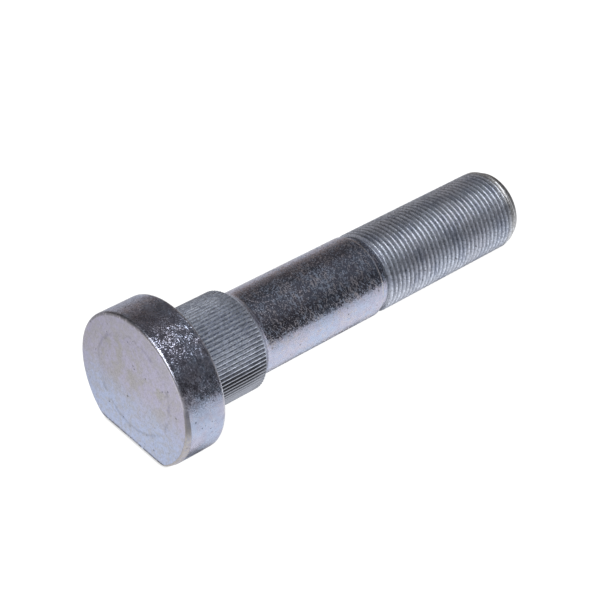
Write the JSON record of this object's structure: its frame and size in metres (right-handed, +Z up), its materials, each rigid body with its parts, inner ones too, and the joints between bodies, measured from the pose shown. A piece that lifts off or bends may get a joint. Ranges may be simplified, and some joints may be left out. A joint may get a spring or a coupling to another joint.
{
  "type": "brake drum bolt",
  "caption": "Zinc-plated steel wheel stud with a flat-sided disc head, a serrated press collar, a plain shank and a fine thread, lying on its flat.",
  "frame": {"origin": "centre of the head's seat, on the bolt's axis", "axes": "+X from the head towards the threaded tip, level with the floor; +Z up; the bolt lies on its flat and its tip, so its own axis dips 2.6 degrees below +X"},
  "size_m": [0.1243, 0.04, 0.0365],
  "materials": {
    "zinc_plate": "bright blue-white zinc plate over forged and rolled steel, satin, with a fine grain"
  },
  "bodies": {
    "root": {"brake_drum_bolt": "zinc_plate"}
  },
  "joints": []
}
